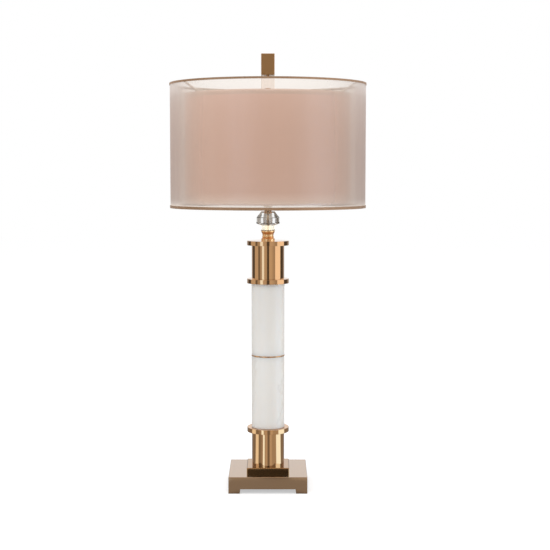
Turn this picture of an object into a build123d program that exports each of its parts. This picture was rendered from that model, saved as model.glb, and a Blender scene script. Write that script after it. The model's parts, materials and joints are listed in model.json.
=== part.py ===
from build123d import *
import math
import os

# Table lamp: a square brass base, a column of stone and brass on one threaded rod,
# a cut-glass block, and a double drum shade that hangs on a wire harp under a finial.
# Millimetres, +Z up. The origin is the middle of the footprint on the table, -Y is the front.

# Clearances
FIT = 0.1  # radial gap of pieces that nest and stay still
RUNNING_FIT = 0.08  # radial gap of a piece that turns or slides on another
LOOSE = 0.3  # gap round rods, screws and thin sheet

# Base
BASE_W = 152.4  # side of the square plinth
BASE_H = 32.5  # table to the top of the plinth
BASE_WALL = 3.0  # thickness of the aprons
BASE_ROOF = 3.5  # thickness of the top plate
BASE_EDGE_R = 1.2  # rounding of the outer edges
FOOT_W = 23.0  # side of each corner foot where it meets the plinth
FOOT_SLANT = 1.2  # how much narrower a foot is where it meets the table
FOOT_GAP_H = 9.0  # table to the lower edge of the aprons
POST_W = 34.0  # side of the post inside each corner
PAD_D = 15.0  # rubber pad under each foot
PAD_T = 1.6  # thickness of a pad
PAD_PROUD = 0.6  # how far a pad stands below its foot
COVER_T = 2.0  # board that closes the underside
COVER_SET = 1.5  # how far the board lies above the lower edge of the aprons
BASE_SCREW_D = 3.2  # shank of the flat-head screws that hold the board and the feet
BASE_SCREW_HEAD_D = 6.4
BASE_SCREW_L = 13.0
WEIGHT_GAP = 3.5  # iron ballast disc to the posts round it
WEIGHT_T = 7.0
CORD_BORE_D = 7.0  # bore of the cord bushing in the rear apron
BUSHING_WALL = 1.4
BUSHING_FLANGE = 1.8  # width of the flange beyond the barrel
BUSHING_FLANGE_T = 1.5
BUSHING_LIP = 0.7  # height of the lip behind the apron
BUSHING_LIP_L = 3.0

# Column on the rod
ROD_D = 10.0  # threaded pipe that clamps the column
ROD_BORE_D = 7.0  # the cord runs up this bore
ROD_TAIL = 1.4  # rod that shows below the lower nut
NUT_FLATS = 16.0  # width of the nuts across the flats
LOWER_NUT_T = 4.5
UPPER_NUT_T = 3.5
WASHER_D = 28.0
WASHER_T = 1.6
LOCK_WASHER_D = 17.0
LOCK_WASHER_T = 1.0
STEP_W = 83.0  # square block on the plinth
STEP_H = 9.8
STEP_CHAMFER = 1.2
SLEEVE_D = 63.5  # brass drums below and above the stone
SLEEVE_WALL = 2.0
SLEEVE_L = 65.4
SPIGOT_H = 4.0  # register that centres a sleeve
COLLAR_D = 82.0  # projecting discs
COLLAR_T = 8.9
COLLAR_EDGE_R = 0.35
STONE_D = 64.5  # alabaster cylinders
STONE_L = 141.2
STONE_BORE_D = 18.0
STONE_CHAMFER = 0.4
CENTRING_L = 10.0  # bushings that centre the stone on the rod
GASKET_D = 58.0  # soft discs between stone and collar
GASKET_T = 0.8
DIVIDER_D = 65.2  # thin ring between the two stones
DIVIDER_T = 2.5
DIVIDER_EDGE_R = 0.9

# Neck, cut glass and cap
SPOOL_H = 20.2
SPOOL_FOOT_D = 26.4
SPOOL_FOOT_H = 4.0  # height of the straight foot
SPOOL_WAIST_D = 21.6
SPOOL_BEAD_D = 23.4
SPOOL_BEAD_Z = 5.8  # foot of the spool to the bead
SPOOL_TOP_D = 26.4
SPOOL_LIP_H = 2.4  # height of the top lip
SPOOL_BEAD_H = 2.6
SPOOL_SHOULDER_R = 0.8  # rounded shoulder above the top lip
SPOOL_FOOT_COVE = 0.4  # depth of the hollow between foot and bead
SPOOL_TOP_COVE = 0.9  # depth of the hollow between bead and top lip
CRYSTAL_FACETS = 12
CRYSTAL_W = 45.0  # across the flats of the girdle
CRYSTAL_NECK_W = 27.5  # across the flats of the straight neck
CRYSTAL_TABLE_W = 26.0
CRYSTAL_NECK_H = 9.8
CRYSTAL_UNDERCUT_H = 3.6  # slope from the neck out to the girdle
CRYSTAL_GIRDLE_H = 11.1
CRYSTAL_CROWN_H = 12.5  # slope from the girdle to the table
CAP_D = 14.0
CAP_H = 4.0
CAP_EDGE_R = 0.6

# Harp
HARP_H = 213.0  # underside of the saddle to the seat of the shade
HARP_WIRE_D = 4.5
HARP_BULB_GAP = 24.75  # bulb to the inside of the harp
HARP_FOOT_BEND_R = 40.0
HARP_HIP_BEND_R = 60.0
HARP_FLARE_H = 35.0  # height over which the legs spread
SADDLE_SPAN = 60.0  # between the middles of the two uprights
SADDLE_W = 12.0
SADDLE_T = 1.5
SADDLE_BEND_R = 8.0
SADDLE_SHOULDER_H = 15.0  # underside of the saddle to the shoulder under a ferrule
TAB_W = 5.5
TAB_L = 9.0  # tab that stands up inside a ferrule
FERRULE_WALL = 0.9
FERRULE_L = 15.0
FERRULE_TRAVEL = 12.0
STUD_BLOCK_D = 13.0
STUD_BLOCK_DROP = 2.2  # block below the harp wire
STUD_FLANGE_D = 20.0
STUD_FLANGE_T = 2.0
STUD_NECK_H = 1.1  # block between the wire and the flange
STUD_D = 6.3
STUD_L = 10.0  # above the hub of the shade

# Socket, switch and bulb
SOCKET_CAP_D = 36.0
SOCKET_CAP_H = 20.0
SOCKET_CAP_WALL = 1.0
SOCKET_HUB_D = 17.0
SOCKET_HUB_H = 6.0
SOCKET_FLARE_H = 5.0  # height of the flare of the cap
SOCKET_SHELL_L = 45.0
SOCKET_SHELL_WALL = 0.8
SOCKET_LIP_H = 1.5
SOCKET_LIP = 0.7
LINER_WALL = 0.8
LINER_SET = 1.0  # the liner ends this far below the lip
CORE_LEG_H = 7.0  # wiring space under the core
CORE_LEG_W = 3.0
CORE_H = 18.0
SCREW_SHELL_WALL = 0.5
SCREW_SHELL_L = 22.0
CONTACT_D = 9.0
CONTACT_T = 1.5
SWITCH_RISE = 5.0  # switch shaft above the rim of the cap
SWITCH_SHAFT_D = 3.2
SWITCH_DEPTH = 13.0  # how far the shaft reaches into the core
SWITCH_STANDOFF = 3.0  # shell to knob
KNOB_D = 9.5
KNOB_L = 13.0
KNOB_GRIP = 9.0  # how far the shaft reaches into the knob
KNOB_FLUTES = 10
KNOB_FLUTE_D = 1.6
BULB_D = 60.0
BULB_L = 110.0
BULB_WALL = 0.9
BULB_CAP_D = 26.0
BULB_CAP_L = 25.0
BULB_CAP_WALL = 0.8
BULB_TIP_D = 9.0
BULB_TIP_H = 2.0
BULB_TIP_CONE_H = 4.0

# Shade
OUTER_D = 381.0  # over the trim
OUTER_H = 240.0
OUTER_RISE = 26.5  # seat of the shade to its top edge
INNER_D = 324.0
INNER_H = 211.8
INNER_RISE = 6.3  # seat of the shade to the top edge of the inner drum
SHEER_T = 0.5
LINING_T = 0.8
TRIM_T = 0.5  # gold tape round the edges of the outer drum
TOP_TRIM_H = 3.7
BOTTOM_TRIM_H = 5.2
RING_D = 3.0  # wire rings at the edges of the drums
HUB_D = 26.0
HUB_BORE_D = 11.0
HUB_SKIN = 0.4  # metal of the hub above and below an arm
ARM_D = 4.0  # spider arms
ARM_COUNT = 3
ARM_START = 93.7  # turn of the first arm from +X, so it runs to the back
ARM_BEND_R = 8.0
WELD = 0.3  # how far an arm sinks into a ring at the weld
SHADE_PLAY = 0.15  # gap above the hub that leaves the shade free to turn

# Finial
FINIAL_W = 26.0
FINIAL_BAR_H = 40.0
FINIAL_WALL = 1.5  # the bar is a capped square tube
FINIAL_BLOCK_H = 34.0  # glass block under the bar
FINIAL_FOOT_D = 18.0  # round brass foot over the hub
FINIAL_FOOT_H = 3.25
FINIAL_CORE_D = 12.0  # spigot of the foot in the block
FINIAL_CORE_L = 9.0
FINIAL_GROOVE_H = 1.0  # shadow line between block and bar
FINIAL_GROOVE_DEPTH = 1.2
FINIAL_CHAMFER = 0.7
FINIAL_PIN_D = 8.0  # spigot of the bar in the block
FINIAL_PIN_L = 5.0

# Heights of the pieces, each worked out from the one below
COVER_Z = FOOT_GAP_H + COVER_SET
COVER_TOP_Z = COVER_Z + COVER_T
ROOF_Z = BASE_H - BASE_ROOF
WEIGHT_Z = ROOF_Z - WEIGHT_T
WASHER_Z = WEIGHT_Z - WASHER_T
LOCK_WASHER_Z = WASHER_Z - LOCK_WASHER_T
LOWER_NUT_Z = LOCK_WASHER_Z - LOWER_NUT_T
ROD_Z = LOWER_NUT_Z - ROD_TAIL
CORD_Z = (COVER_TOP_Z + ROOF_Z) / 2
STEP_Z = BASE_H
LOWER_SLEEVE_Z = STEP_Z + STEP_H
LOWER_COLLAR_Z = LOWER_SLEEVE_Z + SLEEVE_L
LOWER_STONE_Z = LOWER_COLLAR_Z + COLLAR_T
DIVIDER_Z = LOWER_STONE_Z + STONE_L
UPPER_STONE_Z = DIVIDER_Z + DIVIDER_T
MIDDLE_COLLAR_Z = UPPER_STONE_Z + STONE_L
UPPER_SLEEVE_Z = MIDDLE_COLLAR_Z + COLLAR_T
TOP_COLLAR_Z = UPPER_SLEEVE_Z + SLEEVE_L
SPOOL_Z = TOP_COLLAR_Z + COLLAR_T
CRYSTAL_Z = SPOOL_Z + SPOOL_H
GIRDLE_Z = CRYSTAL_Z + CRYSTAL_NECK_H + CRYSTAL_UNDERCUT_H
CAP_Z = GIRDLE_Z + CRYSTAL_GIRDLE_H + CRYSTAL_CROWN_H
UPPER_NUT_Z = CAP_Z + CAP_H
SADDLE_Z = UPPER_NUT_Z + UPPER_NUT_T
SOCKET_Z = SADDLE_Z + SADDLE_T
ROD_TOP_Z = SOCKET_Z + SOCKET_HUB_H
SHOULDER_Z = SADDLE_Z + SADDLE_SHOULDER_H
TAB_TOP_Z = SHOULDER_Z + TAB_L
SOCKET_RIM_Z = SOCKET_Z + SOCKET_CAP_H
SHELL_Z = SOCKET_Z + SOCKET_HUB_H + SOCKET_FLARE_H
SHELL_TOP_Z = SHELL_Z + SOCKET_SHELL_L
CORE_Z = ROD_TOP_Z + CORE_LEG_H
CORE_TOP_Z = CORE_Z + CORE_H
SWITCH_Z = SOCKET_RIM_Z + SWITCH_RISE
BULB_Z = CORE_TOP_Z + CONTACT_T
SEAT_Z = SADDLE_Z + HARP_H
HARP_TOP_Z = SEAT_Z - STUD_FLANGE_T - STUD_NECK_H - HARP_WIRE_D / 2
HUB_T = ARM_D + 2 * HUB_SKIN
HUB_TOP_Z = SEAT_Z + HUB_T
OUTER_TOP_Z = SEAT_Z + OUTER_RISE
OUTER_Z = OUTER_TOP_Z - OUTER_H
INNER_TOP_Z = SEAT_Z + INNER_RISE
INNER_Z = INNER_TOP_Z - INNER_H
FINIAL_Z = HUB_TOP_Z + SHADE_PLAY
FINIAL_BLOCK_Z = FINIAL_Z + FINIAL_FOOT_H
FINIAL_BAR_Z = FINIAL_BLOCK_Z + FINIAL_BLOCK_H + FINIAL_GROOVE_H

# Widths shared by pieces that fit each other
ROD_HOLE_D = ROD_D + 2 * LOOSE
NUT_BORE_D = ROD_D + 2 * FIT
CAVITY_W = BASE_W - 2 * BASE_WALL
FOOT_AT = BASE_W / 2 - FOOT_W / 2
POST_AT = BASE_W / 2 - POST_W / 2
COVER_SCREW_AT = BASE_W / 2 - (FOOT_W + POST_W) / 2
WEIGHT_D = 2 * (math.sqrt(2) * (BASE_W / 2 - POST_W) - WEIGHT_GAP)
BASE_SCREW_HOLE_D = BASE_SCREW_D + 2 * FIT
SPIGOT_D = SLEEVE_D - 2 * SLEEVE_WALL - 2 * FIT
BUSHING_D = CORD_BORE_D + 2 * BUSHING_WALL
HARP_HALF_W = BULB_D / 2 + HARP_BULB_GAP + HARP_WIRE_D / 2
FERRULE_BORE_D = max(HARP_WIRE_D, math.hypot(TAB_W, SADDLE_T)) + 2 * LOOSE
SHELL_D = SOCKET_CAP_D - 2 * SOCKET_CAP_WALL - 2 * FIT
LINER_D = SHELL_D - 2 * SOCKET_SHELL_WALL - 2 * FIT
CORE_D = LINER_D - 2 * LINER_WALL - 2 * FIT
SCREW_SHELL_BORE_D = BULB_CAP_D + 2 * LOOSE
KNOB_X = SHELL_D / 2 + SWITCH_STANDOFF
SHEER_R = OUTER_D / 2 - TRIM_T - FIT
OUTER_RING_R = SHEER_R - SHEER_T - FIT - RING_D / 2
OUTER_RING_INSET = TRIM_T + FIT + RING_D / 2
INNER_RING_R = INNER_D / 2 - LINING_T - FIT - RING_D / 2
INNER_RING_INSET = FIT + RING_D / 2
CORNERS = [(sx, sy) for sx in (-1, 1) for sy in (-1, 1)]

STANDING = (Align.CENTER, Align.CENTER, Align.MIN)


def disc(diameter, height, z):
    return Pos(0, 0, z) * Cylinder(diameter / 2, height, align=STANDING)


def tube(outer_d, inner_d, height, z):
    return disc(outer_d, height, z) - disc(inner_d, height, z)


def block(width, height, z):
    return Pos(0, 0, z) * Box(width, width, height, align=STANDING)


def at_corners(shape, distance):
    return [Pos(sx * distance, sy * distance, 0) * shape for sx, sy in CORNERS]


def turned(outline):
    return revolve(Plane.XZ * make_face(outline), Axis.Z)


def hex_nut(thickness, z):
    body = extrude(RegularPolygon(NUT_FLATS / 2, 6, major_radius=False), thickness)
    return Pos(0, 0, z) * body - disc(NUT_BORE_D, thickness, z)


def top_edges(shape):
    return shape.edges().group_by(Axis.Z)[-1]


def flat_screw(z):
    cone_h = (BASE_SCREW_HEAD_D - BASE_SCREW_D) / 2
    head = Cone(BASE_SCREW_HEAD_D / 2, BASE_SCREW_D / 2, cone_h, align=STANDING)
    return Pos(0, 0, z) * head + disc(BASE_SCREW_D, BASE_SCREW_L, z)


def flat_screw_hole(z):
    cone_h = (BASE_SCREW_HEAD_D - BASE_SCREW_D) / 2
    sink = Cone(BASE_SCREW_HEAD_D / 2 + FIT, BASE_SCREW_HOLE_D / 2, cone_h, align=STANDING)
    return Pos(0, 0, z) * sink + disc(BASE_SCREW_HOLE_D, BASE_SCREW_L, z)


def base_plinth():
    body = block(BASE_W, BASE_H - FOOT_GAP_H, FOOT_GAP_H)
    body = fillet(body.edges().filter_by(Axis.Z) + top_edges(body), BASE_EDGE_R)
    room = block(CAVITY_W, ROOF_Z - COVER_TOP_Z, COVER_TOP_Z)
    room -= at_corners(block(POST_W, ROOF_Z - COVER_TOP_Z, COVER_TOP_Z), POST_AT)
    mouth = block(CAVITY_W, COVER_TOP_Z - FOOT_GAP_H, FOOT_GAP_H)
    mouth -= at_corners(block(FOOT_W, COVER_TOP_Z - FOOT_GAP_H, FOOT_GAP_H), FOOT_AT)
    body -= [room, mouth]
    body -= disc(ROD_HOLE_D, BASE_ROOF, ROOF_Z)
    cord_hole = Cylinder(BUSHING_D / 2 + FIT, BASE_WALL, align=STANDING)
    body -= Pos(0, BASE_W / 2, CORD_Z) * Rot(90, 0, 0) * cord_hole
    body -= at_corners(flat_screw_hole(PAD_T), FOOT_AT)
    return body - at_corners(flat_screw_hole(COVER_Z), COVER_SCREW_AT)


def corner_feet():
    slab = block(BASE_W, FOOT_GAP_H - PAD_PROUD, PAD_PROUD)
    slab = fillet(slab.edges().filter_by(Axis.Z), BASE_EDGE_R)
    gap_half = BASE_W / 2 - FOOT_W
    gap_outline = Polyline(
        (-gap_half - FOOT_SLANT, 0),
        (-gap_half, FOOT_GAP_H),
        (gap_half, FOOT_GAP_H),
        (gap_half + FOOT_SLANT, 0),
        close=True,
    )
    gap = extrude(Plane.XZ * make_face(gap_outline), BASE_W, both=True)
    feet = slab - [gap, Rot(0, 0, 90) * gap]
    feet -= at_corners(disc(PAD_D + 2 * FIT, PAD_T, 0), FOOT_AT)
    feet -= at_corners(flat_screw_hole(PAD_T), FOOT_AT)
    return list(feet.solids())


def foot_pads():
    pad = disc(PAD_D, PAD_T, 0)
    return at_corners(pad, FOOT_AT)


def base_weight():
    return tube(WEIGHT_D, ROD_HOLE_D, WEIGHT_T, WEIGHT_Z)


def underside_cover():
    board = block(CAVITY_W - 2 * LOOSE, COVER_T, COVER_Z)
    board -= at_corners(block(FOOT_W + 2 * LOOSE, COVER_T, COVER_Z), FOOT_AT)
    return board - at_corners(flat_screw_hole(COVER_Z), COVER_SCREW_AT)


def cord_bushing():
    barrel_r = BUSHING_D / 2
    back = -BASE_WALL - BUSHING_LIP_L
    outline = Polyline(
        (CORD_BORE_D / 2, back),
        (barrel_r, back),
        (barrel_r + BUSHING_LIP, -BASE_WALL),
        (barrel_r, -BASE_WALL),
        (barrel_r, 0),
        (barrel_r + BUSHING_FLANGE, 0),
        (barrel_r + BUSHING_FLANGE, BUSHING_FLANGE_T / 2),
        (barrel_r, BUSHING_FLANGE_T),
        (CORD_BORE_D / 2, BUSHING_FLANGE_T),
        close=True,
    )
    return Pos(0, BASE_W / 2, CORD_Z) * Rot(-90, 0, 0) * turned(outline)


def plinth_step():
    body = block(STEP_W, STEP_H, STEP_Z)
    body = chamfer(body.edges().filter_by(Axis.Z) + top_edges(body), STEP_CHAMFER)
    body += disc(SPIGOT_D, SPIGOT_H, STEP_Z + STEP_H)
    return body - disc(ROD_HOLE_D, STEP_H + SPIGOT_H, STEP_Z)


def sleeve(z):
    return tube(SLEEVE_D, SLEEVE_D - 2 * SLEEVE_WALL, SLEEVE_L, z)


def collar(z, spigot_z=None, gasket_z=None):
    body = disc(COLLAR_D, COLLAR_T, z)
    body = fillet(body.edges(), COLLAR_EDGE_R)
    if spigot_z is not None:
        body += disc(SPIGOT_D, SPIGOT_H, spigot_z)
    if gasket_z is not None:
        body -= disc(GASKET_D + 2 * FIT, GASKET_T, gasket_z)
    return body - disc(ROD_HOLE_D, COLLAR_T + 2 * SPIGOT_H, z - SPIGOT_H)


def gasket(z):
    return tube(GASKET_D, STONE_BORE_D, GASKET_T, z)


def alabaster(z):
    body = disc(STONE_D, STONE_L, z)
    body = chamfer(body.edges(), STONE_CHAMFER)
    return body - disc(STONE_BORE_D, STONE_L, z)


def centring_bushings():
    stones = (LOWER_STONE_Z, UPPER_STONE_Z)
    ends = [z + rise for z in stones for rise in (0, STONE_L - CENTRING_L)]
    return [tube(STONE_BORE_D - 2 * FIT, ROD_HOLE_D, CENTRING_L, z) for z in ends]


def divider_ring():
    body = disc(DIVIDER_D, DIVIDER_T, DIVIDER_Z)
    body = fillet(body.edges(), DIVIDER_EDGE_R)
    return body - disc(ROD_HOLE_D, DIVIDER_T, DIVIDER_Z)


def neck_spool():
    foot_r = SPOOL_FOOT_D / 2
    waist_r = SPOOL_WAIST_D / 2
    bead_r = SPOOL_BEAD_D / 2
    top_r = SPOOL_TOP_D / 2
    shoulder_z = SPOOL_H - SPOOL_SHOULDER_R
    lip_z = shoulder_z - SPOOL_LIP_H
    bead_top_z = SPOOL_BEAD_Z + SPOOL_BEAD_H
    bead_middle = (bead_r, (SPOOL_BEAD_Z + bead_top_z) / 2)
    foot = Polyline((0, 0), (foot_r, 0), (foot_r, SPOOL_FOOT_H))
    foot_cove = SagittaArc((foot_r, SPOOL_FOOT_H), (waist_r, SPOOL_BEAD_Z), SPOOL_FOOT_COVE)
    bead = ThreePointArc((waist_r, SPOOL_BEAD_Z), bead_middle, (waist_r, bead_top_z))
    top_cove = SagittaArc((waist_r, bead_top_z), (top_r, lip_z), SPOOL_TOP_COVE)
    lip = Line((top_r, lip_z), (top_r, shoulder_z))
    shoulder = CenterArc((top_r - SPOOL_SHOULDER_R, shoulder_z), SPOOL_SHOULDER_R, 0, 90)
    crown = Polyline((top_r - SPOOL_SHOULDER_R, SPOOL_H), (0, SPOOL_H), (0, 0))
    body = turned(foot + foot_cove + bead + top_cove + lip + shoulder + crown)
    return Pos(0, 0, SPOOL_Z) * body - disc(ROD_HOLE_D, SPOOL_H, SPOOL_Z)


def crystal_ball():
    levels = (
        (CRYSTAL_NECK_W, CRYSTAL_Z),
        (CRYSTAL_NECK_W, CRYSTAL_Z + CRYSTAL_NECK_H),
        (CRYSTAL_W, GIRDLE_Z),
        (CRYSTAL_W, GIRDLE_Z + CRYSTAL_GIRDLE_H),
        (CRYSTAL_TABLE_W, CAP_Z),
    )
    half_facet = 180.0 / CRYSTAL_FACETS
    sections = [
        Pos(0, 0, z) * Rot(0, 0, half_facet)
        * RegularPolygon(width / 2, CRYSTAL_FACETS, major_radius=False)
        for width, z in levels
    ]
    body = loft(sections, ruled=True)
    return body - disc(ROD_HOLE_D, CAP_Z - CRYSTAL_Z, CRYSTAL_Z)


def crystal_cap():
    body = disc(CAP_D, CAP_H, CAP_Z)
    body = fillet(top_edges(body), CAP_EDGE_R)
    return body - disc(ROD_HOLE_D, CAP_H, CAP_Z)


def centre_rod():
    return tube(ROD_D, ROD_BORE_D, ROD_TOP_Z - ROD_Z, ROD_Z)


def harp_saddle():
    tall = TAB_TOP_Z - SADDLE_Z
    outer = Pos(0, 0, SADDLE_Z) * Box(SADDLE_W, SADDLE_SPAN + SADDLE_T, tall, align=STANDING)
    outer = fillet(outer.edges().filter_by(Axis.X).group_by(Axis.Z)[0], SADDLE_BEND_R)
    inner = Pos(0, 0, SOCKET_Z) * Box(SADDLE_W, SADDLE_SPAN - SADDLE_T, tall, align=STANDING)
    inner = fillet(inner.edges().filter_by(Axis.X).group_by(Axis.Z)[0], SADDLE_BEND_R - SADDLE_T)
    body = outer - inner
    shoulder_w = (SADDLE_W - TAB_W) / 2
    notch = Pos(0, 0, SHOULDER_Z) * Box(
        shoulder_w, SADDLE_SPAN + 2 * SADDLE_T, TAB_L, align=STANDING
    )
    notch_x = (SADDLE_W - shoulder_w) / 2
    body -= [Pos(-notch_x, 0, 0) * notch, Pos(notch_x, 0, 0) * notch]
    return body - disc(ROD_HOLE_D, SADDLE_T, SADDLE_Z)


def harp():
    leg_y = SADDLE_SPAN / 2
    spread = HARP_HALF_W - leg_y
    lean = math.atan2(spread, HARP_FLARE_H)
    knee_z = TAB_TOP_Z + FERRULE_L + FERRULE_TRAVEL + HARP_FOOT_BEND_R * math.tan(lean / 2)
    hip_z = knee_z + HARP_FLARE_H
    crown_r = HARP_HALF_W - STUD_BLOCK_D / 2
    leg = [(leg_y, TAB_TOP_Z), (leg_y, knee_z), (HARP_HALF_W, hip_z), (HARP_HALF_W, HARP_TOP_Z)]
    radii = [HARP_FOOT_BEND_R, HARP_HIP_BEND_R, crown_r]
    points = leg + [(-y, z) for y, z in reversed(leg)]
    path = Plane.YZ * FilletPolyline(*points, radius=radii + radii[::-1])
    start = Plane((0, leg_y, TAB_TOP_Z))
    return sweep(start * Circle(HARP_WIRE_D / 2), path=path)


def ferrule(side):
    return Pos(0, side * SADDLE_SPAN / 2, 0) * tube(
        FERRULE_BORE_D + 2 * FERRULE_WALL, FERRULE_BORE_D, FERRULE_L, SHOULDER_Z
    )


def harp_stud():
    block_z = HARP_TOP_Z - HARP_WIRE_D / 2 - STUD_BLOCK_DROP
    body = disc(STUD_BLOCK_D, SEAT_Z - block_z, block_z)
    body += disc(STUD_FLANGE_D, STUD_FLANGE_T, SEAT_Z - STUD_FLANGE_T)
    body += disc(HUB_BORE_D - 2 * RUNNING_FIT, HUB_T + SHADE_PLAY, SEAT_Z)
    body += disc(STUD_D, HUB_T + SHADE_PLAY + STUD_L, SEAT_Z)
    wire_hole = Cylinder(HARP_WIRE_D / 2 + FIT, STUD_BLOCK_D)
    return body - Pos(0, 0, HARP_TOP_Z) * Rot(90, 0, 0) * wire_hole


def socket_cap():
    rim_r = SOCKET_CAP_D / 2
    hub_r = SOCKET_HUB_D / 2
    bore_r = NUT_BORE_D / 2
    flare_z = SOCKET_HUB_H + SOCKET_FLARE_H
    outline = Polyline(
        (bore_r, 0),
        (hub_r, 0),
        (hub_r, SOCKET_HUB_H - SOCKET_CAP_WALL),
        (rim_r, flare_z - SOCKET_CAP_WALL),
        (rim_r, SOCKET_CAP_H),
        (rim_r - SOCKET_CAP_WALL, SOCKET_CAP_H),
        (rim_r - SOCKET_CAP_WALL, flare_z),
        (hub_r, SOCKET_HUB_H),
        (bore_r, SOCKET_HUB_H),
        close=True,
    )
    return Pos(0, 0, SOCKET_Z) * turned(outline)


def switch_hole(diameter, start_x, length):
    bore = Cylinder(diameter / 2, length, align=STANDING)
    return Pos(start_x, 0, SWITCH_Z) * Rot(0, 90, 0) * bore


def socket_shell():
    body = tube(SHELL_D, SHELL_D - 2 * SOCKET_SHELL_WALL, SOCKET_SHELL_L, SHELL_Z)
    lip_z = SHELL_TOP_Z - SOCKET_LIP_H
    body += tube(SHELL_D + 2 * SOCKET_LIP, SHELL_D - SOCKET_SHELL_WALL, SOCKET_LIP_H, lip_z)
    return body - switch_hole(SWITCH_SHAFT_D + 2 * LOOSE, 0, SHELL_D)


def socket_liner():
    body = tube(LINER_D, LINER_D - 2 * LINER_WALL, SOCKET_SHELL_L - LINER_SET, SHELL_Z)
    return body - switch_hole(SWITCH_SHAFT_D + 2 * LOOSE, 0, LINER_D)


def socket_core():
    body = disc(CORE_D, CORE_H, CORE_Z)
    leg = Pos(0, 0, ROD_TOP_Z) * Box(CORE_LEG_W, CORE_LEG_W, CORE_LEG_H, align=STANDING)
    leg_at = (NUT_BORE_D + SOCKET_HUB_D) / 4
    body += [Pos(0, side * leg_at, 0) * leg for side in (-1, 1)]
    shaft_x = CORE_D / 2 - SWITCH_DEPTH
    return body - switch_hole(SWITCH_SHAFT_D + 2 * RUNNING_FIT, shaft_x, SWITCH_DEPTH)


def screw_shell():
    outer_d = SCREW_SHELL_BORE_D + 2 * SCREW_SHELL_WALL
    return tube(outer_d, SCREW_SHELL_BORE_D, SCREW_SHELL_L, CORE_TOP_Z)


def contact_tab():
    return disc(CONTACT_D, CONTACT_T, CORE_TOP_Z)


def switch_shaft():
    start_x = CORE_D / 2 - SWITCH_DEPTH + LOOSE
    return switch_hole(SWITCH_SHAFT_D, start_x, KNOB_X + KNOB_GRIP - start_x)


def switch_knob():
    body = Cylinder(KNOB_D / 2, KNOB_L, align=STANDING)
    body = fillet(top_edges(body), KNOB_FLUTE_D / 2)
    flute = Cylinder(KNOB_FLUTE_D / 2, KNOB_L, align=STANDING)
    body -= PolarLocations(KNOB_D / 2, KNOB_FLUTES) * flute
    body -= Cylinder(SWITCH_SHAFT_D / 2 + FIT, KNOB_GRIP + FIT, align=STANDING)
    return Pos(KNOB_X, 0, SWITCH_Z) * Rot(0, 90, 0) * body


def bulb_base():
    cap_r = BULB_CAP_D / 2
    tip_r = BULB_TIP_D / 2
    cone_z = BULB_TIP_H + BULB_TIP_CONE_H
    outline = Polyline(
        (0, 0),
        (tip_r, 0),
        (tip_r, BULB_TIP_H),
        (cap_r, cone_z),
        (cap_r, BULB_CAP_L),
        (cap_r - BULB_CAP_WALL, BULB_CAP_L),
        (cap_r - BULB_CAP_WALL, cone_z + BULB_CAP_WALL),
        (0, cone_z + BULB_CAP_WALL),
        close=True,
    )
    return Pos(0, 0, BULB_Z) * turned(outline)


def bulb_solid(globe_r, neck_r, neck_z, globe_z):
    reach = math.hypot(neck_r, globe_z - neck_z)
    swing = math.acos(globe_r / reach) + math.atan2(neck_r, globe_z - neck_z)
    touch_r = globe_r * math.sin(swing)
    touch_z = globe_z - globe_r * math.cos(swing)
    cone = Cone(neck_r, touch_r, touch_z - neck_z, align=STANDING)
    return Pos(0, 0, globe_z) * Sphere(globe_r) + Pos(0, 0, neck_z) * cone


def bulb_glass():
    neck_z = BULB_Z + BULB_CAP_L
    globe_z = BULB_Z + BULB_L - BULB_D / 2
    neck_r = BULB_CAP_D / 2
    outer = bulb_solid(BULB_D / 2, neck_r, neck_z, globe_z)
    inner = bulb_solid(BULB_D / 2 - BULB_WALL, neck_r - BULB_WALL, neck_z, globe_z)
    return outer - inner


def edge_ring(radius, z):
    return Pos(0, 0, z) * Torus(radius, RING_D / 2)


def outer_top_ring():
    return edge_ring(OUTER_RING_R, OUTER_TOP_Z - OUTER_RING_INSET)


def outer_bottom_ring():
    return edge_ring(OUTER_RING_R, OUTER_Z + OUTER_RING_INSET)


def inner_top_ring():
    return edge_ring(INNER_RING_R, INNER_TOP_Z - INNER_RING_INSET)


def inner_bottom_ring():
    return edge_ring(INNER_RING_R, INNER_Z + INNER_RING_INSET)


def spider_arms(diameter):
    hub_r = (HUB_D + HUB_BORE_D) / 4
    inner_ring_top_z = INNER_TOP_Z - INNER_RING_INSET + RING_D / 2
    weld_r = OUTER_RING_R - RING_D / 2 + WELD
    path = FilletPolyline(
        (hub_r, SEAT_Z + HUB_T / 2),
        (INNER_RING_R, inner_ring_top_z + ARM_D / 2 - WELD),
        (weld_r, OUTER_TOP_Z - OUTER_RING_INSET),
        radius=ARM_BEND_R,
    )
    path = Plane.XZ * path
    section = Plane(origin=path @ 0, z_dir=path % 0) * Circle(diameter / 2)
    arm = sweep(section, path=path)
    turns = [ARM_START + 360.0 / ARM_COUNT * i for i in range(ARM_COUNT)]
    return [Rot(0, 0, turn) * arm for turn in turns]


def shade_spider():
    hub = disc(HUB_D, HUB_T, SEAT_Z)
    body = hub + spider_arms(ARM_D)
    body -= disc(HUB_BORE_D, HUB_T + 2 * ARM_D, SEAT_Z - ARM_D)
    return body - [inner_top_ring(), outer_top_ring()]


def outer_shade():
    height = OUTER_H - 2 * (TRIM_T + FIT)
    return tube(2 * SHEER_R, 2 * (SHEER_R - SHEER_T), height, OUTER_Z + TRIM_T + FIT)


def inner_shade():
    return tube(INNER_D, INNER_D - 2 * LINING_T, INNER_H, INNER_Z)


def trim_section(edge_z, end_z):
    outer_r = OUTER_D / 2
    tape_z = edge_z + math.copysign(TRIM_T, end_z - edge_z)
    outline = Polyline(
        (OUTER_RING_R, edge_z),
        (outer_r, edge_z),
        (outer_r, end_z),
        (outer_r - TRIM_T, end_z),
        (outer_r - TRIM_T, tape_z),
        (OUTER_RING_R, tape_z),
        close=True,
    )
    return turned(outline)


def top_trim():
    return trim_section(OUTER_TOP_Z, OUTER_TOP_Z - TOP_TRIM_H)


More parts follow.
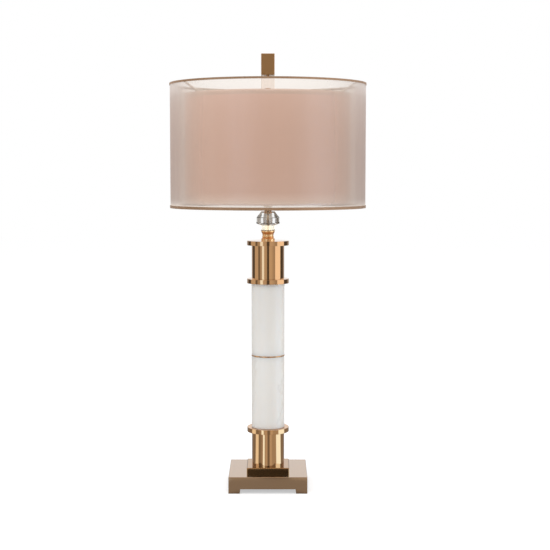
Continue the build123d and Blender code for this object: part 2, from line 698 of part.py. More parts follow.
def bottom_trim():
    return trim_section(OUTER_Z, OUTER_Z + BOTTOM_TRIM_H)


def finial_foot():
    body = disc(FINIAL_FOOT_D, FINIAL_FOOT_H, FINIAL_Z)
    body += disc(FINIAL_CORE_D, FINIAL_FOOT_H + FINIAL_CORE_L, FINIAL_Z)
    return body - disc(STUD_D + 2 * RUNNING_FIT, STUD_L + LOOSE, FINIAL_Z)


def finial_block():
    body = block(FINIAL_W, FINIAL_BLOCK_H, FINIAL_BLOCK_Z)
    body = chamfer(body.edges(), FINIAL_CHAMFER)
    body -= disc(FINIAL_CORE_D + 2 * FIT, FINIAL_CORE_L + FIT, FINIAL_BLOCK_Z)
    pin_hole_l = FINIAL_PIN_L + FIT
    pin_hole_z = FINIAL_BLOCK_Z + FINIAL_BLOCK_H - pin_hole_l
    return body - disc(FINIAL_PIN_D + 2 * FIT, pin_hole_l, pin_hole_z)


def finial_bar():
    body = block(FINIAL_W, FINIAL_BAR_H, FINIAL_BAR_Z)
    body = chamfer(body.edges(), FINIAL_CHAMFER)
    bore_h = FINIAL_BAR_H - 2 * FINIAL_WALL
    body -= block(FINIAL_W - 2 * FINIAL_WALL, bore_h, FINIAL_BAR_Z + FINIAL_WALL)
    groove_z = FINIAL_BAR_Z - FINIAL_GROOVE_H
    body += block(FINIAL_W - 2 * FINIAL_GROOVE_DEPTH, FINIAL_GROOVE_H, groove_z)
    return body + disc(FINIAL_PIN_D, FINIAL_PIN_L, groove_z - FINIAL_PIN_L)


NODES = {
    "base_plinth": base_plinth(),
    "corner_feet": corner_feet(),
    "foot_screws": at_corners(flat_screw(PAD_T), FOOT_AT),
    "foot_pads": foot_pads(),
    "base_weight": base_weight(),
    "underside_cover": underside_cover(),
    "cover_screws": at_corners(flat_screw(COVER_Z), COVER_SCREW_AT),
    "cord_bushing": cord_bushing(),
    "rod_washer": tube(WASHER_D, NUT_BORE_D, WASHER_T, WASHER_Z),
    "rod_lock_washer": tube(LOCK_WASHER_D, NUT_BORE_D, LOCK_WASHER_T, LOCK_WASHER_Z),
    "lower_rod_nut": hex_nut(LOWER_NUT_T, LOWER_NUT_Z),
    "plinth_step": plinth_step(),
    "lower_sleeve": sleeve(LOWER_SLEEVE_Z),
    "lower_collar": collar(
        LOWER_COLLAR_Z,
        spigot_z=LOWER_COLLAR_Z - SPIGOT_H,
        gasket_z=LOWER_STONE_Z - GASKET_T,
    ),
    "stone_gaskets": [gasket(LOWER_STONE_Z - GASKET_T), gasket(MIDDLE_COLLAR_Z)],
    "lower_alabaster": alabaster(LOWER_STONE_Z),
    "divider_ring": divider_ring(),
    "upper_alabaster": alabaster(UPPER_STONE_Z),
    "centring_bushings": centring_bushings(),
    "middle_collar": collar(
        MIDDLE_COLLAR_Z, spigot_z=UPPER_SLEEVE_Z, gasket_z=MIDDLE_COLLAR_Z
    ),
    "upper_sleeve": sleeve(UPPER_SLEEVE_Z),
    "top_collar": collar(TOP_COLLAR_Z, spigot_z=TOP_COLLAR_Z - SPIGOT_H),
    "neck_spool": neck_spool(),
    "crystal_ball": crystal_ball(),
    "crystal_cap": crystal_cap(),
    "centre_rod": centre_rod(),
    "upper_rod_nut": hex_nut(UPPER_NUT_T, UPPER_NUT_Z),
    "harp_saddle": harp_saddle(),
    "harp": harp(),
    "front_ferrule": ferrule(-1),
    "rear_ferrule": ferrule(1),
    "harp_stud": harp_stud(),
    "socket_cap": socket_cap(),
    "socket_shell": socket_shell(),
    "socket_liner": socket_liner(),
    "socket_core": socket_core(),
    "screw_shell": screw_shell(),
    "contact_tab": contact_tab(),
    "switch_shaft": switch_shaft(),
    "switch_knob": switch_knob(),
    "bulb_base": bulb_base(),
    "bulb_glass": bulb_glass(),
    "shade_spider": shade_spider(),
    "outer_top_ring": outer_top_ring(),
    "outer_bottom_ring": outer_bottom_ring(),
    "inner_top_ring": inner_top_ring(),
    "inner_bottom_ring": inner_bottom_ring(),
    "outer_shade": outer_shade(),
    "inner_shade": inner_shade(),
    "top_trim": top_trim(),
    "bottom_trim": bottom_trim(),
    "finial_foot": finial_foot(),
    "finial_block": finial_block(),
    "finial_bar": finial_bar(),
}

for name, shape in NODES.items():
    if isinstance(shape, list):
        shape = Compound(children=shape)
    export_step(shape, f"parts/{name}.step")
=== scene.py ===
import json
import math

import bmesh
import bpy
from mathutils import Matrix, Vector


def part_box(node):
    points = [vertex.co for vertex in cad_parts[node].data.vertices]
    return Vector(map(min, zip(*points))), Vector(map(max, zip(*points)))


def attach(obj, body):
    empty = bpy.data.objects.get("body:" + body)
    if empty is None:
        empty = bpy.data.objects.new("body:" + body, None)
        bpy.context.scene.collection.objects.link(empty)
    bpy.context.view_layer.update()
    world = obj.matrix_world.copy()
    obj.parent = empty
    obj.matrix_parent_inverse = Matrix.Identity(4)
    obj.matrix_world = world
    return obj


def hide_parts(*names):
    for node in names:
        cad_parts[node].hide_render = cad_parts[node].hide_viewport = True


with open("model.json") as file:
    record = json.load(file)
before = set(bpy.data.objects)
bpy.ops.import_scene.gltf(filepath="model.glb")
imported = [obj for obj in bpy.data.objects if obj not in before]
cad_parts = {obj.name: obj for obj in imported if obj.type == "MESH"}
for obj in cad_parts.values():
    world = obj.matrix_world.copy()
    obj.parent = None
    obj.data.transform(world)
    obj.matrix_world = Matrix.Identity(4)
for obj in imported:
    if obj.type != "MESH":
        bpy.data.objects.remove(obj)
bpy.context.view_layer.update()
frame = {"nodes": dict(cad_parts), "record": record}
nodes = frame["nodes"]
scene = bpy.context.scene
scene.view_settings.view_transform = "Standard"


# Shader helpers

def srgb(red, green, blue):
    """A display colour from 0 to 255 as the linear RGBA that shaders take."""
    def linear(value):
        value /= 255.0
        return value / 12.92 if value <= 0.04045 else ((value + 0.055) / 1.055) ** 2.4
    return (linear(red), linear(green), linear(blue), 1.0)


def scaled(colour, red, green, blue):
    """A colour with its channels times these factors."""
    return (colour[0] * red, colour[1] * green, colour[2] * blue, 1.0)


def put(tree, socket, value):
    """Links a socket, or sets its value."""
    if isinstance(value, bpy.types.NodeSocket):
        tree.links.new(value, socket)
    else:
        socket.default_value = value


def add(tree, kind, inputs=None, **properties):
    made = tree.nodes.new("ShaderNode" + kind)
    for name, value in properties.items():
        setattr(made, name, value)
    for name, value in (inputs or {}).items():
        put(tree, made.inputs[name], value)
    return made


def math_node(tree, operation, first, second=0.0):
    return add(tree, "Math", {0: first, 1: second}, operation=operation).outputs[0]


def times(tree, first, second):
    return math_node(tree, "MULTIPLY", first, second)


def larger(tree, first, second):
    return math_node(tree, "MAXIMUM", first, second)


def less(tree, first, second):
    """1 where the first value is below the second, 0 elsewhere."""
    return math_node(tree, "LESS_THAN", first, second)


def opposite(tree, value):
    """1 minus the value."""
    return math_node(tree, "SUBTRACT", 1.0, value)


def blend(tree, first, second, share):
    """Two values added up, with this share of the second one."""
    return math_node(tree, "ADD", times(tree, first, 1.0 - share), times(tree, second, share))


def ramp(tree, value, start, end, low=0.0, high=1.0):
    """Maps a value from start..end to low..high, and holds it beyond them."""
    settings = {"Value": value, "From Min": start, "From Max": end, "To Min": low, "To Max": high}
    return add(tree, "MapRange", settings).outputs["Result"]


def span(tree, value, low, high):
    """Maps a value from 0..1 to low..high."""
    return ramp(tree, value, 0.0, 1.0, low, high)


def mix_colour(tree, factor, first, second):
    made = add(tree, "Mix", data_type="RGBA")
    put(tree, made.inputs[0], factor)
    put(tree, made.inputs[6], first)
    put(tree, made.inputs[7], second)
    return made.outputs[2]


def coordinates(tree, scale=(1.0, 1.0, 1.0)):
    """Metres in the object's own frame, stretched by scale."""
    place = add(tree, "TexCoord").outputs["Object"]
    return add(tree, "Mapping", {"Vector": place, "Scale": scale}).outputs["Vector"]


def noise(tree, scale, stretch=(1.0, 1.0, 1.0), detail=3.0, roughness=0.5):
    vector = coordinates(tree, stretch)
    settings = {"Vector": vector, "Scale": scale, "Detail": detail, "Roughness": roughness}
    return add(tree, "TexNoise", settings).outputs["Fac"]


def bump(tree, relief, distance, strength=1.0, normal=None):
    settings = {"Height": relief, "Distance": distance, "Strength": strength}
    if normal is not None:
        settings["Normal"] = normal
    return add(tree, "Bump", settings).outputs["Normal"]


def around(tree):
    """The angle about the lamp's axis, in radians."""
    place = add(tree, "SeparateXYZ", {"Vector": coordinates(tree)})
    return math_node(tree, "ARCTAN2", place.outputs["Y"], place.outputs["X"])


def height(tree):
    return add(tree, "SeparateXYZ", {"Vector": coordinates(tree)}).outputs["Z"]


def ripples(tree, value, per_unit):
    """A sine from 0 to 1 with per_unit waves in each unit of value."""
    wave = math_node(tree, "SINE", times(tree, value, 2 * math.pi * per_unit))
    return math_node(tree, "ADD", times(tree, wave, 0.5), 0.5)


def new_material(name, **settings):
    """A material whose Principled shader has the given constant values."""
    material = bpy.data.materials.new(name)
    material.use_nodes = True
    tree = material.node_tree
    shader = tree.nodes["Principled BSDF"]
    for key, value in settings.items():
        shader.inputs[key.replace("_", " ").title().replace("Ior", "IOR")].default_value = value
    return material, tree, shader.inputs


# Metals

def brass(name, colour, roughness, lathe=False, lacquer=0.0):
    """Brass with soft tarnish clouds and fine tool marks, round the axis or along X."""
    material, tree, sockets = new_material(name, metallic=1.0, coat_weight=lacquer, coat_roughness=0.06)
    clouds = noise(tree, 28.0, detail=4.0)
    deep = scaled(colour, 0.93, 0.94, 0.97)
    warm = scaled(colour, 1.04, 1.0, 0.92)
    put(tree, sockets["Base Color"], mix_colour(tree, clouds, deep, warm))
    stretch = (0.02, 0.02, 1.0) if lathe else (0.01, 1.0, 1.0)
    marks = noise(tree, 2600.0, stretch, detail=2.0)
    smudges = noise(tree, 60.0, detail=5.0, roughness=0.6)
    worn = blend(tree, marks, smudges, 0.4)
    put(tree, sockets["Roughness"], span(tree, worn, roughness * 0.8, roughness * 1.2))
    put(tree, sockets["Normal"], bump(tree, marks, 0.000012, 0.35))
    return material


def steel(name, colour, roughness, thread_pitch=0.0, bright=None):
    """Plated metal with a grain, and with screw threads where a pitch is given.

    bright is a length with painted light: paler, and plain, without threads: its lower and upper height,
    and its paler colour."""
    material, tree, sockets = new_material(name, metallic=1.0)
    relief = 0.8
    grain = noise(tree, 900.0, detail=3.0)
    clouds = noise(tree, 70.0, detail=4.0)
    tone = mix_colour(tree, clouds, scaled(colour, 0.88, 0.88, 0.88), colour)
    if bright:
        low, high, painted_light_colour = bright
        rise = height(tree)
        # Painted light: a paler colour on the given length, with no threads there
        painted_light_length = times(tree, less(tree, low, rise), less(tree, rise, high))
        tone = mix_colour(tree, painted_light_length, tone, painted_light_colour)
        relief = span(tree, painted_light_length, relief, 0.0)
    put(tree, sockets["Base Color"], tone)
    put(tree, sockets["Roughness"], span(tree, clouds, roughness * 0.8, roughness * 1.25))
    normal = bump(tree, grain, 0.00003, 0.3)
    if thread_pitch:
        turn = math_node(tree, "DIVIDE", around(tree), 2 * math.pi)
        rise = math_node(tree, "DIVIDE", height(tree), thread_pitch)
        helix = ripples(tree, math_node(tree, "ADD", rise, turn), 1.0)
        normal = bump(tree, helix, 0.00015, relief, normal)
    put(tree, sockets["Normal"], normal)
    return material


# Stone, glass and moulded pieces

def stone(name, dark, light, vein_colour):
    """Alabaster with cloudy depth and a few faint veins."""
    material, tree, sockets = new_material(
        name, ior=1.53, subsurface_weight=0.5, subsurface_scale=0.02, coat_weight=0.05, coat_roughness=0.12)
    sockets["Subsurface Radius"].default_value = (1.0, 0.9, 0.8)
    clouds = noise(tree, 14.0, (1.0, 1.0, 0.6), detail=5.0, roughness=0.55)
    body = mix_colour(tree, clouds, dark, light)
    warp = noise(tree, 9.0, (1.0, 1.0, 0.45), detail=6.0, roughness=0.62)
    ridge = math_node(tree, "ABSOLUTE", math_node(tree, "SUBTRACT", warp, 0.52))
    vein = ramp(tree, ridge, 0.0, 0.02, 0.35, 0.0)
    put(tree, sockets["Base Color"], mix_colour(tree, vein, body, vein_colour))
    polish = noise(tree, 140.0, detail=3.0)
    put(tree, sockets["Roughness"], span(tree, polish, 0.4, 0.52))
    put(tree, sockets["Normal"], bump(tree, noise(tree, 420.0, detail=4.0), 0.00004, 0.25))
    return material


def clear_glass(name, dull, bright):
    """Polished cut glass with the faintest smears."""
    material, tree, sockets = new_material(name, ior=1.52, transmission_weight=1.0)
    smears = noise(tree, 120.0, detail=4.0)
    put(tree, sockets["Base Color"], mix_colour(tree, smears, dull, bright))
    put(tree, sockets["Roughness"], span(tree, smears, 0.0, 0.02))
    return material


def frosted_glass(name):
    """Pale glass with a fine frost that scatters the light."""
    material, tree, sockets = new_material(
        name, ior=1.5, transmission_weight=0.1, subsurface_weight=0.3, subsurface_scale=0.006)
    sockets["Subsurface Radius"].default_value = (1.0, 1.0, 1.0)
    frost = noise(tree, 700.0, detail=4.0)
    put(tree, sockets["Base Color"], mix_colour(tree, frost, srgb(238, 236, 231), srgb(248, 246, 242)))
    put(tree, sockets["Roughness"], span(tree, frost, 0.35, 0.5))
    put(tree, sockets["Normal"], bump(tree, frost, 0.00004, 0.4))
    return material


def moulded(name, colour, roughness, grain_scale=500.0, depth=0.00005, metallic=0.0):
    """Plastic, rubber, board, enamel or cast iron: mottled colour with a fine surface grain."""
    material, tree, sockets = new_material(name, metallic=metallic)
    grain = noise(tree, grain_scale, detail=5.0, roughness=0.6)
    clouds = noise(tree, 45.0, detail=4.0)
    put(tree, sockets["Base Color"], mix_colour(tree, clouds, scaled(colour, 0.8, 0.8, 0.8), colour))
    put(tree, sockets["Roughness"], span(tree, grain, roughness * 0.85, min(1.0, roughness * 1.15)))
    put(tree, sockets["Normal"], bump(tree, grain, depth, 0.6))
    return material


# Cloth: sizes in metres, with the radius that the threads of each cloth are counted on

SHEER_R = 0.1895
SHEER_THREADS_R = 0.18965
SHEER_PITCH = 0.0006
LINING_R = 0.1615
LINING_THREADS_R = 0.1618
LINING_PITCH = 0.0007
LINING_T = 0.0002
HEM = 0.009
HEM_STEP = 0.0002
TAPE_R = 0.1905
TAPE_RIB = 0.0011


def weave(tree, radius, pitch):
    """Crossing threads of a cloth wrapped round the axis, from 0 in the gaps to 1 on the threads."""
    warp = ripples(tree, times(tree, around(tree), radius), 1.0 / pitch)
    weft = ripples(tree, height(tree), 1.0 / pitch)
    return larger(tree, warp, weft)


def levels_of(node):
    """The heights of a node's lower and upper edge."""
    return [corner.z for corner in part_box(node)]


def fade(tree, edge, depth, share):
    """Falls from share at a height to 0 at a depth above it, or below it where the depth is negative."""
    return ramp(tree, height(tree), edge, edge + depth, share, 0.0)


def sheer(name):
    """Organza: fine threads that glow with the light behind them, denser where it is seen edge-on."""
    material, tree, sockets = new_material(name, roughness=0.6, sheen_weight=0.2, sheen_roughness=0.4)
    threads = weave(tree, SHEER_THREADS_R, SHEER_PITCH)
    slubs = noise(tree, 90.0, (1.0, 1.0, 0.04), detail=4.0)
    foot, top = levels_of("outer_shade")
    fibre = mix_colour(tree, slubs, srgb(205, 192, 183), srgb(217, 205, 197))
    # Painted light: paler near the top and the foot, where light falls in between the two drums; palest on
    # the folded hems, which are dense too
    for edge, depth, share in ((top, -0.12, 0.2), (top, -0.028, 0.9), (foot, 0.018, 1.0)):
        fibre = mix_colour(tree, fade(tree, edge, depth, share), fibre, srgb(247, 240, 235))
    folded = larger(tree, fade(tree, foot + 0.005, 0.004, 0.85), fade(tree, top - 0.003, -0.0005, 1.0))
    fibre = mix_colour(tree, folded, fibre, srgb(255, 249, 242))
    put(tree, sockets["Base Color"], fibre)
    glow = add(tree, "BsdfTranslucent", {"Color": fibre})
    lit = tree.nodes["Principled BSDF"].outputs[0]
    cloth = add(tree, "MixShader", {0: 0.55, 1: lit, 2: glow.outputs[0]})
    facing = add(tree, "LayerWeight", {"Blend": 0.5}).outputs["Facing"]
    across = larger(tree, opposite(tree, facing), 0.06)
    open_share = span(tree, threads, 0.92, 0.845)
    layers = math_node(tree, "POWER", across, -3.0)
    through = times(tree, math_node(tree, "POWER", open_share, layers), opposite(tree, folded))
    gap = add(tree, "BsdfTransparent", {"Color": (1.0, 0.947, 0.895, 1.0)})
    film = add(tree, "MixShader", {0: through, 1: cloth.outputs[0], 2: gap.outputs[0]})
    put(tree, tree.nodes["Material Output"].inputs["Surface"], film.outputs[0])
    return material


def lining(name):
    """Plain silk-like cloth on a stiff backing, with upright slubs, folded hems and painted light towards
    its foot.
    """
    material, tree, sockets = new_material(
        name, ior=1.9, sheen_weight=0.6, sheen_roughness=0.35, sheen_tint=(1.0, 0.94, 0.9, 1.0))
    threads = weave(tree, LINING_THREADS_R, LINING_PITCH)
    slubs = noise(tree, 60.0, (1.0, 1.0, 0.03), detail=4.0)
    # Broad upright streaks of lighter and darker tone
    broad_streaks = noise(tree, 9.0, (1.0, 1.0, 0.1), detail=1.0)
    tone = blend(tree, slubs, broad_streaks, 0.6)
    cloth = mix_colour(tree, tone, srgb(213, 177, 159), srgb(229, 199, 186))
    foot, top = levels_of("inner_shade")
    rise = height(tree)
    hems = larger(tree, less(tree, rise, foot + HEM), less(tree, top - HEM, rise))
    cloth = mix_colour(tree, hems, cloth, srgb(211, 186, 172))
    # Painted light: paler towards the foot, where light comes in from below
    cloth = mix_colour(tree, fade(tree, foot + 0.003, 0.021, 1.0), cloth, srgb(238, 219, 208))
    put(tree, sockets["Base Color"], cloth)
    put(tree, sockets["Roughness"], span(tree, threads, 0.38, 0.3))
    put(tree, sockets["Normal"], bump(tree, threads, 0.00012, 0.5))
    return material


def gold_tape(name):
    """Metallic tape with close upright ribs."""
    material, tree, sockets = new_material(name, metallic=0.75, sheen_weight=0.05)
    ribs = ripples(tree, times(tree, around(tree), TAPE_R), 1.0 / TAPE_RIB)
    dust = noise(tree, 160.0, detail=4.0)
    tone = blend(tree, ribs, dust, 0.5)
    put(tree, sockets["Base Color"], mix_colour(tree, tone, srgb(141, 101, 70), srgb(194, 154, 118)))
    put(tree, sockets["Roughness"], span(tree, dust, 0.36, 0.5))
    put(tree, sockets["Normal"], bump(tree, ribs, 0.0002, 0.6))
    return material


# The length of the rod that the crystal's clear neck shows, and the paler colour painted there as light on
# the rod
NECK_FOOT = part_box("crystal_ball")[0].z
NECK_H = 0.0098
NECK_ROD_PAINTED_LIGHT = (NECK_FOOT - 0.001, NECK_FOOT + NECK_H, (0.98, 0.86, 0.68, 1.0))
MATERIALS = {
    "base_brass": brass("base_brass", (0.45, 0.28, 0.16, 1.0), 0.11, lacquer=0.45),
    "column_brass": brass("column_brass", (0.65, 0.36, 0.165, 1.0), 0.06, lathe=True, lacquer=0.1),
    "neck_brass": brass("neck_brass", (0.97, 0.56, 0.25, 1.0), 0.35, lathe=True),
    "finial_brass": brass("finial_brass", (0.50, 0.26, 0.108, 1.0), 0.38),
    "harp_brass": brass("harp_brass", (0.92, 0.78, 0.58, 1.0), 0.42),
    "rod_brass": steel("rod_brass", (0.44, 0.33, 0.24, 1.0), 0.3, thread_pitch=0.00094, bright=NECK_ROD_PAINTED_LIGHT),
    "socket_brass": brass("socket_brass", (0.84, 0.64, 0.38, 1.0), 0.38, lathe=True),
    "zinc_steel": steel("zinc_steel", (0.62, 0.61, 0.58, 1.0), 0.34),
    "switch_steel": steel("switch_steel", (0.55, 0.55, 0.55, 1.0), 0.28),
    "bulb_cap": steel("bulb_cap", (0.68, 0.68, 0.69, 1.0), 0.3, thread_pitch=0.0036),
    "ballast_iron": moulded("ballast_iron", srgb(70, 68, 66), 0.6, 260.0, 0.0004, metallic=0.6),
    "alabaster": stone("alabaster", srgb(231, 227, 221), srgb(241, 238, 233), srgb(213, 206, 196)),
    "cut_glass": clear_glass("cut_glass", srgb(249, 249, 247), srgb(254, 254, 253)),
    "bulb_glass": frosted_glass("bulb_glass"),
    "rubber": moulded("rubber", srgb(38, 37, 36), 0.85, 700.0, 0.0001),
    "black_board": moulded("black_board", srgb(34, 33, 32), 0.9, 420.0, 0.0002),
    "black_plastic": moulded("black_plastic", srgb(30, 29, 29), 0.45, 900.0, 0.00003),
    "centring_plastic": moulded("centring_plastic", srgb(228, 226, 220), 0.5),
    "socket_paper": moulded("socket_paper", srgb(196, 170, 132), 0.85, 350.0, 0.0001),
    "socket_core": moulded("socket_core", srgb(40, 36, 33), 0.35, 800.0, 0.00002),
    "shade_wire": moulded("shade_wire", srgb(216, 204, 192), 0.4, 300.0, 0.00005),
    "sheer_fabric": sheer("sheer_fabric"),
    "lining_fabric": lining("lining_fabric"),
    "gold_trim": gold_tape("gold_trim"),
}

# Finishes of single pieces: the finial's block is the same glass with a champagne tint, the crystal's cap
# is in a darker brass, and the step on the base has painted shade: a darker, browner copy of the base's
# brass
OWN = {
    "finial_block": clear_glass("tinted_glass", srgb(248, 237, 228), srgb(251, 242, 235)),
    # The cap is in a plain darker brass
    "crystal_cap": brass("dark_cap_brass", (0.34, 0.20, 0.11, 1.0), 0.34, lathe=True),
    # Painted shade: a darker, browner copy of the base's brass with less lacquer, on the step
    "plinth_step": brass("step_brass_painted_shade", (0.46, 0.26, 0.11, 1.0), 0.11, lacquer=0.15),
}
for part in frame["record"]["subparts"]:
    slots = nodes[part["node"]].data.materials
    slots.clear()
    slots.append(OWN.get(part["node"], MATERIALS[part["material_slot"]]))


# The two drums: strips of cloth bent round their wire rings, lapped at the back

LAP = 0.06  # radians
COLUMNS = 288
SHEER_ROWS = 24
LINING_ROWS = 48


def drum(name, node, profile, lap_rise):
    """A strip that goes once round the axis and laps over its own start at the back.

    profile is a list of (radius, z) from the lower edge to the upper one, and lap_rise is how far the lap
    stands off the cloth under it."""
    mesh = bpy.data.meshes.new(name)
    shape = bmesh.new()
    turn = 2 * math.pi + LAP
    rows = []
    for column in range(COLUMNS + 1):
        angle = turn * column / COLUMNS
        over = max(0.0, angle - 2 * math.pi + 2 * LAP) / (2 * LAP)
        rise = lap_rise * min(1.0, over)
        heading = math.pi / 2 - LAP / 2 + angle
        rows.append([
            shape.verts.new(((r + rise) * math.cos(heading), (r + rise) * math.sin(heading), z))
            for r, z in profile
        ])
    for first, second in zip(rows, rows[1:]):
        for low in range(len(profile) - 1):
            shape.faces.new((first[low], second[low], second[low + 1], first[low + 1]))
    shape.to_mesh(mesh)
    shape.free()
    mesh.shade_smooth()
    cloth = bpy.data.objects.new(name, mesh)
    scene.collection.objects.link(cloth)
    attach(cloth, "shade")
    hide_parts(node)
    return cloth


def heights(low, high, count):
    return [low + (high - low) * step / count for step in range(count + 1)]


sheer_low, sheer_high = levels_of("outer_shade")
sheer_profile = [(SHEER_R, z) for z in heights(sheer_low, sheer_high, SHEER_ROWS)]
outer_cloth = drum("outer_sheer", "outer_shade", sheer_profile, lap_rise=0.0003)
outer_cloth.data.materials.append(MATERIALS["sheer_fabric"])

# The lining has a smooth white back
lining_low, lining_high = levels_of("inner_shade")
lining_profile = []
for z in heights(lining_low, lining_high, LINING_ROWS):
    edge = min(z - lining_low, lining_high - z)
    lining_profile.append((LINING_R + HEM_STEP if edge < HEM else LINING_R, z))
inner_cloth = drum("inner_lining", "inner_shade", lining_profile, lap_rise=0.0002)
inner_cloth.data.materials.append(MATERIALS["lining_fabric"])
inner_cloth.data.materials.append(moulded("drum_backing", srgb(248, 240, 230), 0.5, 300.0, 0.00002))
thick = inner_cloth.modifiers.new("thickness", "SOLIDIFY")
thick.thickness = LINING_T
thick.offset = -1.0
thick.material_offset = 1


# Camera

CAMERA_TILT = 4.688  # degrees down

camera_data = bpy.data.cameras.new("camera")
camera_data.lens = 82.12
camera_data.sensor_width = 36.0
camera = bpy.data.objects.new("camera", camera_data)
camera.location = (0.0137, -2.4515, 0.6181)
camera.rotation_euler = (math.radians(90.0 - CAMERA_TILT), 0.0, 0.0)
scene.collection.objects.link(camera)
scene.camera = camera


# Studio: white surroundings, a floor that keeps the shadow, soft lamps, and a ring of cards
# that only polished surfaces show

def seen_directly(tree):
    """1 for rays from the camera, off gloss or through glass, 0 for rays that carry light."""
    path = add(tree, "LightPath").outputs
    seen = larger(tree, path["Is Camera Ray"], path["Is Glossy Ray"])
    return larger(tree, seen, path["Is Transmission Ray"])


WHITE = (1.0, 1.0, 1.0, 1.0)
world = bpy.data.worlds.new("studio")
world.use_nodes = True
scene.world = world
tree = world.node_tree
tree.nodes.clear()
ambient = add(tree, "Background", {"Color": WHITE, "Strength": 0.8})
white = add(tree, "Background", {"Color": WHITE, "Strength": 1.0})
both = add(tree, "MixShader", {0: seen_directly(tree), 1: ambient.outputs[0], 2: white.outputs[0]})
add(tree, "OutputWorld", {"Surface": both.outputs[0]})

floor_mesh = bpy.data.meshes.new("floor")
shape = bmesh.new()
bmesh.ops.create_grid(shape, x_segments=1, y_segments=1, size=9.0)
shape.to_mesh(floor_mesh)
shape.free()
floor = bpy.data.objects.new("floor", floor_mesh)
scene.collection.objects.link(floor)
floor_material = bpy.data.materials.new("floor")
floor_material.use_nodes = True
tree = floor_material.node_tree
tree.nodes.clear()
matte = add(tree, "BsdfDiffuse", {"Color": (0.5, 0.5, 0.5, 1.0)})
faint = add(tree, "BsdfDiffuse", {"Color": (0.62, 0.62, 0.62, 1.0)})
glow = add(tree, "Emission", {"Color": WHITE, "Strength": 0.5})
paper = add(tree, "AddShader", {0: faint.outputs[0], 1: glow.outputs[0]})
both = add(tree, "MixShader", {0: seen_directly(tree), 1: matte.outputs[0], 2: paper.outputs[0]})
add(tree, "OutputMaterial", {"Surface": both.outputs[0]})
floor_mesh.materials.append(floor_material)

# The brightest tone of the cards, and tones with a colour of their own
CARD_PEAK = 3.0
COOL = (1.35, 1.85, 2.60)
PALE = (1.40, 1.50, 1.70)
BRIGHT = (1.50, 2.15, 3.00)
SOFT = (1.24, 1.44, 1.62)
# Tones of the cards on the wall by the angle from the camera's side, in degrees, positive to the right
CARDS = [
    (-180, 0.35), (-152, 0.55), (-136, 0.35), (-132, 0.10), (-109, 0.10), (-105, 0.75), (-74, 0.75),
    (-71, 0.22), (-61, 0.22), (-58, 0.56), (-45, 0.58), (-41, COOL), (-29, COOL), (-26, 0.68), (-8, 0.66),
    (-5, 0.12), (7, 0.12), (10, 0.78), (25, 0.74), (50, 0.46), (54, PALE), (96, PALE), (100, 0.09),
    (128, 0.12), (140, 0.40), (156, 0.60), (180, 0.35),
]
# The same on the floor, which the lower brass shows
FLOOR_CARDS = [
    (-180, 0.33), (-98, 0.30), (-94, SOFT), (-72, SOFT), (-66, 0.30), (-54, 0.35), (-43, 0.48),
    (-36, 0.56), (-34, BRIGHT), (-25, BRIGHT), (-22, 0.58), (-9, 0.70), (-6, 0.62), (-1, 0.28),
    (6, 0.24), (11, 0.42), (14, 0.76), (24, 0.70), (29, 0.55), (56, 0.55), (60, BRIGHT),
    (95, BRIGHT), (101, 0.33), (180, 0.33),
]
# The same for what shows through the cut glass
GLASS_CARDS = [
    (-180, 0.28), (-173, 0.28), (-170, 1.00), (-157, 1.00), (-153, 0.17), (-100, 0.17), (-94, 0.80),
    (94, 0.80), (100, 0.38), (153, 0.38), (157, 1.00), (170, 1.00), (173, 0.28), (180, 0.28),
]
# The cards stand on a disc just over the floor and on a wall round it, as (radius, z) in metres
DISC_Z = 0.0005
NEAR_R = 0.2
WALL_R = 3.4
WALL_TOP = 2.4
RING = ((0.01, DISC_Z), (NEAR_R, DISC_Z), (WALL_R, DISC_Z), (WALL_R, WALL_TOP))
RING_STEPS = 96
# Heights on the wall: the top of a plain foot that glass shows, the rise to white behind the lamp, and the
# middle of a band and half its width
FOOT_TOP = 0.375
WHITE_FROM = 0.42
WHITE_TO = 0.5
BAND_Z = 0.84
BAND_HALF = 0.08
# Angles from the camera's side at which it is behind the lamp, and at which the band ends, in degrees
BEHIND_FROM = 98
BEHIND_TO = 112
BAND_END = 150


def card_ramp(tree, where, cards, powers=(1.0, 1.0, 1.0)):
    """The cards' share of their peak at a share of the turn; powers over 1 deepen the tones under 1."""
    scale = add(tree, "ValToRGB", {"Fac": where})
    stops = scale.color_ramp.elements
    while len(stops) < len(cards):
        stops.new(1.0)
    for stop, (degrees, level) in zip(stops, cards):
        stop.position = (degrees + 180.0) / 360.0
        tone = level if isinstance(level, tuple) else (level, level, level)
        stop.color = tuple(part ** power / CARD_PEAK for part, power in zip(tone, powers)) + (1.0,)
    return scale.outputs["Color"]


ring_mesh = bpy.data.meshes.new("cards")
shape = bmesh.new()
turns = [2 * math.pi * step / RING_STEPS for step in range(RING_STEPS)]
levels = []
for radius, z in RING:
    levels.append([shape.verts.new((radius * math.cos(a), radius * math.sin(a), z)) for a in turns])
for lower, upper in zip(levels, levels[1:]):
    for step in range(RING_STEPS):
        following = (step + 1) % RING_STEPS
        shape.faces.new((lower[step], lower[following], upper[following], upper[step]))
shape.to_mesh(ring_mesh)
shape.free()
ring = bpy.data.objects.new("cards", ring_mesh)
scene.collection.objects.link(ring)
ring.visible_camera = False
ring.visible_diffuse = False
ring.visible_shadow = False
ring.visible_volume_scatter = False
card_material = bpy.data.materials.new("cards")
card_material.use_nodes = True
tree = card_material.node_tree
tree.nodes.clear()
place = add(tree, "SeparateXYZ", {"Vector": coordinates(tree)}).outputs
bearing = math_node(tree, "ARCTAN2", place["X"], times(tree, place["Y"], -1.0))
from_front = math_node(tree, "ABSOLUTE", bearing)
where = math_node(tree, "ADD", math_node(tree, "DIVIDE", bearing, 2 * math.pi), 0.5)
behind = ramp(tree, from_front, math.radians(BEHIND_FROM), math.radians(BEHIND_TO))
on_floor = less(tree, place["Z"], 2 * DISC_Z)
through_glass = add(tree, "LightPath").outputs["Is Transmission Ray"]

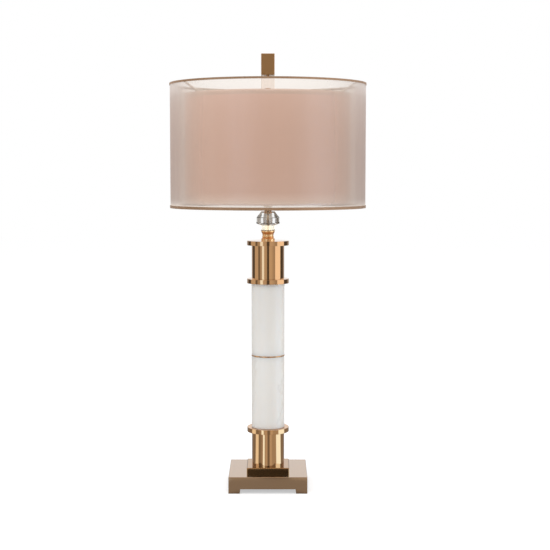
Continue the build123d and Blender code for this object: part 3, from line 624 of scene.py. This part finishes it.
# Metal shows the cards of the wall and of the floor, and glass shows its own
metal_tone = mix_colour(tree, on_floor, card_ramp(tree, where, CARDS), card_ramp(tree, where, FLOOR_CARDS))
glass_tone = card_ramp(tree, where, GLASS_CARDS, (1.0, 1.12, 1.25))
foot_of_wall = times(tree, less(tree, place["Z"], FOOT_TOP), opposite(tree, on_floor))
foot_tone = mix_colour(tree, behind, (0.82, 0.76, 0.64, 1.0), (0.31, 0.29, 0.245, 1.0))
glass_tone = mix_colour(tree, foot_of_wall, glass_tone, foot_tone)
tone = mix_colour(tree, through_glass, metal_tone, glass_tone)

# Both show white behind the lamp
open_sky = times(tree, behind, ramp(tree, place["Z"], WHITE_FROM, WHITE_TO))
tone = mix_colour(tree, open_sky, tone, (1 / CARD_PEAK, 1 / CARD_PEAK, 1 / CARD_PEAK, 1.0))

# The band is what the sleeve shows at its foot, by way of the step's top
from_band = math_node(tree, "ABSOLUTE", math_node(tree, "SUBTRACT", place["Z"], BAND_Z))
band = times(tree, less(tree, from_band, BAND_HALF), less(tree, from_front, math.radians(BAND_END)))
band = times(tree, band, opposite(tree, through_glass))
tone = mix_colour(tree, band, tone, card_ramp(tree, where, FLOOR_CARDS, (2.0, 1.75, 1.6)))

# The floor is in shade next to the base
reach = math_node(tree, "SQRT", math_node(
    tree, "ADD", math_node(tree, "POWER", place["X"], 2.0), math_node(tree, "POWER", place["Y"], 2.0)))
shade = ramp(tree, reach, 0.07, 0.12, low=0.02, high=0.153)
tone = mix_colour(tree, less(tree, reach, NEAR_R), tone, shade)
card_glow = add(tree, "Emission", {"Color": tone, "Strength": CARD_PEAK})
add(tree, "OutputMaterial", {"Surface": card_glow.outputs[0]})
ring_mesh.materials.append(card_material)


def softbox(name, place, target, size, power, spread=180):
    """A rectangular lamp that lights the scene, and doesn't itself show in gloss or through glass."""
    lamp = bpy.data.lights.new(name, "AREA")
    lamp.shape = "RECTANGLE"
    lamp.size, lamp.size_y = size
    lamp.energy = power
    lamp.spread = math.radians(spread)
    holder = bpy.data.objects.new(name, lamp)
    holder.location = place
    holder.rotation_euler = (Vector(target) - Vector(place)).to_track_quat("-Z", "Y").to_euler()
    holder.visible_camera = False
    holder.visible_glossy = False
    holder.visible_transmission = False
    scene.collection.objects.link(holder)


softbox("left_box", (-2.3, -1.9, 1.5), (0, 0, 0.5), (1.4, 1.8), 19.0)
softbox("right_box", (2.4, -1.7, 1.2), (0, 0, 0.4), (1.4, 1.8), 9.5)
softbox("top_box", (0.0, -0.6, 2.6), (0, 0, 0.5), (2.0, 2.0), 24.0)
softbox("low_box", (0.5, 0.1, 0.27), (0, 0, 0.27), (0.1, 0.3), 0.055, spread=60)
